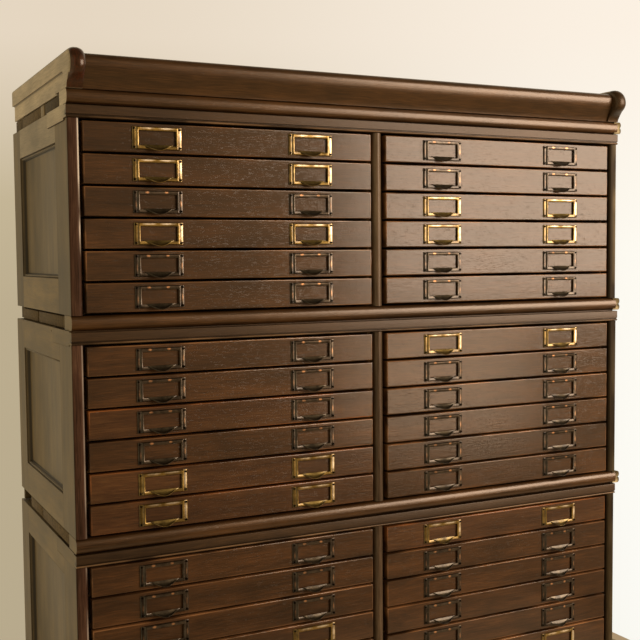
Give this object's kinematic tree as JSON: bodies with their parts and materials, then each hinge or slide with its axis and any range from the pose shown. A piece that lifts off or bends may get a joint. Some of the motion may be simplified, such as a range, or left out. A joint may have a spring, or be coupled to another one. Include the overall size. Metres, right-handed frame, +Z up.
{
  "type": "flat file cabinet",
  "caption": "Stacked wooden flat file cabinet with two columns of shallow drawers, label-holder pulls, rounded front mouldings and a scrolled crown.",
  "frame": {"origin": "middle of the cabinet's outer box, on the floor it stands on", "axes": "+X to the cabinet's right seen from the front, +Y to its back, +Z up"},
  "size_m": [0.874, 0.374, 0.967],
  "materials": {
    "case_side_wood": "aged stain with a thin worn finish",
    "moulding_wood": "dark stain under old varnish",
    "drawer_wood": "dark stain under old varnish",
    "bare_inner_wood": "bare"
  },
  "bodies": {
    "case": {"upper_left_side": "case_side_wood", "upper_right_side": "case_side_wood", "upper_centre_partition": "moulding_wood", "upper_top_rail": "moulding_wood", "upper_base_rail": "moulding_wood", "upper_back_panel": "bare_inner_wood", "middle_left_side": "case_side_wood", "middle_right_side": "case_side_wood", "middle_centre_partition": "moulding_wood", "middle_top_rail": "moulding_wood", "middle_base_rail": "moulding_wood", "middle_back_panel": "bare_inner_wood", "lower_left_side": "case_side_wood", "lower_right_side": "case_side_wood", "lower_centre_partition": "moulding_wood", "lower_top_rail": "moulding_wood", "lower_base_rail": "moulding_wood", "lower_back_panel": "bare_inner_wood", "crown_base": "moulding_wood", "crown_left_end": "case_side_wood", "crown_right_end": "case_side_wood", "crown_moulding": "moulding_wood", "crown_top_board": "case_side_wood", "plinth": "moulding_wood"},
    "upper_left_drawer_1": {"upper_left_drawer_1": "drawer_wood"},
    "upper_left_drawer_2": {"upper_left_drawer_2": "drawer_wood"},
    "upper_left_drawer_3": {"upper_left_drawer_3": "drawer_wood"},
    "upper_left_drawer_4": {"upper_left_drawer_4": "drawer_wood"},
    "upper_left_drawer_5": {"upper_left_drawer_5": "drawer_wood"},
    "upper_left_drawer_6": {"upper_left_drawer_6": "drawer_wood"},
    "upper_right_drawer_1": {"upper_right_drawer_1": "drawer_wood"},
    "upper_right_drawer_2": {"upper_right_drawer_2": "drawer_wood"},
    "upper_right_drawer_3": {"upper_right_drawer_3": "drawer_wood"},
    "upper_right_drawer_4": {"upper_right_drawer_4": "drawer_wood"},
    "upper_right_drawer_5": {"upper_right_drawer_5": "drawer_wood"},
    "upper_right_drawer_6": {"upper_right_drawer_6": "drawer_wood"},
    "middle_left_drawer_1": {"middle_left_drawer_1": "drawer_wood"},
    "middle_left_drawer_2": {"middle_left_drawer_2": "drawer_wood"},
    "middle_left_drawer_3": {"middle_left_drawer_3": "drawer_wood"},
    "middle_left_drawer_4": {"middle_left_drawer_4": "drawer_wood"},
    "middle_left_drawer_5": {"middle_left_drawer_5": "drawer_wood"},
    "middle_left_drawer_6": {"middle_left_drawer_6": "drawer_wood"},
    "middle_right_drawer_1": {"middle_right_drawer_1": "drawer_wood"},
    "middle_right_drawer_2": {"middle_right_drawer_2": "drawer_wood"},
    "middle_right_drawer_3": {"middle_right_drawer_3": "drawer_wood"},
    "middle_right_drawer_4": {"middle_right_drawer_4": "drawer_wood"},
    "middle_right_drawer_5": {"middle_right_drawer_5": "drawer_wood"},
    "middle_right_drawer_6": {"middle_right_drawer_6": "drawer_wood"},
    "lower_left_drawer_1": {"lower_left_drawer_1": "drawer_wood"},
    "lower_left_drawer_2": {"lower_left_drawer_2": "drawer_wood"},
    "lower_left_drawer_3": {"lower_left_drawer_3": "drawer_wood"},
    "lower_left_drawer_4": {"lower_left_drawer_4": "drawer_wood"},
    "lower_left_drawer_5": {"lower_left_drawer_5": "drawer_wood"},
    "lower_left_drawer_6": {"lower_left_drawer_6": "drawer_wood"},
    "lower_right_drawer_1": {"lower_right_drawer_1": "drawer_wood"},
    "lower_right_drawer_2": {"lower_right_drawer_2": "drawer_wood"},
    "lower_right_drawer_3": {"lower_right_drawer_3": "drawer_wood"},
    "lower_right_drawer_4": {"lower_right_drawer_4": "drawer_wood"},
    "lower_right_drawer_5": {"lower_right_drawer_5": "drawer_wood"},
    "lower_right_drawer_6": {"lower_right_drawer_6": "drawer_wood"}
  },
  "joints": [
    {"name": "upper_left_drawer_1_slide", "type": "slide", "parent": "case", "child": "upper_left_drawer_1", "axis": [0, -1, 0], "range_m": [0, 0.28]},
    {"name": "upper_left_drawer_2_slide", "type": "slide", "parent": "case", "child": "upper_left_drawer_2", "axis": [0, -1, 0], "range_m": [0, 0.28]},
    {"name": "upper_left_drawer_3_slide", "type": "slide", "parent": "case", "child": "upper_left_drawer_3", "axis": [0, -1, 0], "range_m": [0, 0.28]},
    {"name": "upper_left_drawer_4_slide", "type": "slide", "parent": "case", "child": "upper_left_drawer_4", "axis": [0, -1, 0], "range_m": [0, 0.28]},
    {"name": "upper_left_drawer_5_slide", "type": "slide", "parent": "case", "child": "upper_left_drawer_5", "axis": [0, -1, 0], "range_m": [0, 0.28]},
    {"name": "upper_left_drawer_6_slide", "type": "slide", "parent": "case", "child": "upper_left_drawer_6", "axis": [0, -1, 0], "range_m": [0, 0.28]},
    {"name": "upper_right_drawer_1_slide", "type": "slide", "parent": "case", "child": "upper_right_drawer_1", "axis": [0, -1, 0], "range_m": [0, 0.28]},
    {"name": "upper_right_drawer_2_slide", "type": "slide", "parent": "case", "child": "upper_right_drawer_2", "axis": [0, -1, 0], "range_m": [0, 0.28]},
    {"name": "upper_right_drawer_3_slide", "type": "slide", "parent": "case", "child": "upper_right_drawer_3", "axis": [0, -1, 0], "range_m": [0, 0.28]},
    {"name": "upper_right_drawer_4_slide", "type": "slide", "parent": "case", "child": "upper_right_drawer_4", "axis": [0, -1, 0], "range_m": [0, 0.28]},
    {"name": "upper_right_drawer_5_slide", "type": "slide", "parent": "case", "child": "upper_right_drawer_5", "axis": [0, -1, 0], "range_m": [0, 0.28]},
    {"name": "upper_right_drawer_6_slide", "type": "slide", "parent": "case", "child": "upper_right_drawer_6", "axis": [0, -1, 0], "range_m": [0, 0.28]},
    {"name": "middle_left_drawer_1_slide", "type": "slide", "parent": "case", "child": "middle_left_drawer_1", "axis": [0, -1, 0], "range_m": [0, 0.28]},
    {"name": "middle_left_drawer_2_slide", "type": "slide", "parent": "case", "child": "middle_left_drawer_2", "axis": [0, -1, 0], "range_m": [0, 0.28]},
    {"name": "middle_left_drawer_3_slide", "type": "slide", "parent": "case", "child": "middle_left_drawer_3", "axis": [0, -1, 0], "range_m": [0, 0.28]},
    {"name": "middle_left_drawer_4_slide", "type": "slide", "parent": "case", "child": "middle_left_drawer_4", "axis": [0, -1, 0], "range_m": [0, 0.28]},
    {"name": "middle_left_drawer_5_slide", "type": "slide", "parent": "case", "child": "middle_left_drawer_5", "axis": [0, -1, 0], "range_m": [0, 0.28]},
    {"name": "middle_left_drawer_6_slide", "type": "slide", "parent": "case", "child": "middle_left_drawer_6", "axis": [0, -1, 0], "range_m": [0, 0.28]},
    {"name": "middle_right_drawer_1_slide", "type": "slide", "parent": "case", "child": "middle_right_drawer_1", "axis": [0, -1, 0], "range_m": [0, 0.28]},
    {"name": "middle_right_drawer_2_slide", "type": "slide", "parent": "case", "child": "middle_right_drawer_2", "axis": [0, -1, 0], "range_m": [0, 0.28]},
    {"name": "middle_right_drawer_3_slide", "type": "slide", "parent": "case", "child": "middle_right_drawer_3", "axis": [0, -1, 0], "range_m": [0, 0.28]},
    {"name": "middle_right_drawer_4_slide", "type": "slide", "parent": "case", "child": "middle_right_drawer_4", "axis": [0, -1, 0], "range_m": [0, 0.28]},
    {"name": "middle_right_drawer_5_slide", "type": "slide", "parent": "case", "child": "middle_right_drawer_5", "axis": [0, -1, 0], "range_m": [0, 0.28]},
    {"name": "middle_right_drawer_6_slide", "type": "slide", "parent": "case", "child": "middle_right_drawer_6", "axis": [0, -1, 0], "range_m": [0, 0.28]},
    {"name": "lower_left_drawer_1_slide", "type": "slide", "parent": "case", "child": "lower_left_drawer_1", "axis": [0, -1, 0], "range_m": [0, 0.28]},
    {"name": "lower_left_drawer_2_slide", "type": "slide", "parent": "case", "child": "lower_left_drawer_2", "axis": [0, -1, 0], "range_m": [0, 0.28]},
    {"name": "lower_left_drawer_3_slide", "type": "slide", "parent": "case", "child": "lower_left_drawer_3", "axis": [0, -1, 0], "range_m": [0, 0.28]},
    {"name": "lower_left_drawer_4_slide", "type": "slide", "parent": "case", "child": "lower_left_drawer_4", "axis": [0, -1, 0], "range_m": [0, 0.28]},
    {"name": "lower_left_drawer_5_slide", "type": "slide", "parent": "case", "child": "lower_left_drawer_5", "axis": [0, -1, 0], "range_m": [0, 0.28]},
    {"name": "lower_left_drawer_6_slide", "type": "slide", "parent": "case", "child": "lower_left_drawer_6", "axis": [0, -1, 0], "range_m": [0, 0.28]},
    {"name": "lower_right_drawer_1_slide", "type": "slide", "parent": "case", "child": "lower_right_drawer_1", "axis": [0, -1, 0], "range_m": [0, 0.28]},
    {"name": "lower_right_drawer_2_slide", "type": "slide", "parent": "case", "child": "lower_right_drawer_2", "axis": [0, -1, 0], "range_m": [0, 0.28]},
    {"name": "lower_right_drawer_3_slide", "type": "slide", "parent": "case", "child": "lower_right_drawer_3", "axis": [0, -1, 0], "range_m": [0, 0.28]},
    {"name": "lower_right_drawer_4_slide", "type": "slide", "parent": "case", "child": "lower_right_drawer_4", "axis": [0, -1, 0], "range_m": [0, 0.28]},
    {"name": "lower_right_drawer_5_slide", "type": "slide", "parent": "case", "child": "lower_right_drawer_5", "axis": [0, -1, 0], "range_m": [0, 0.28]},
    {"name": "lower_right_drawer_6_slide", "type": "slide", "parent": "case", "child": "lower_right_drawer_6", "axis": [0, -1, 0], "range_m": [0, 0.28]}
  ]
}
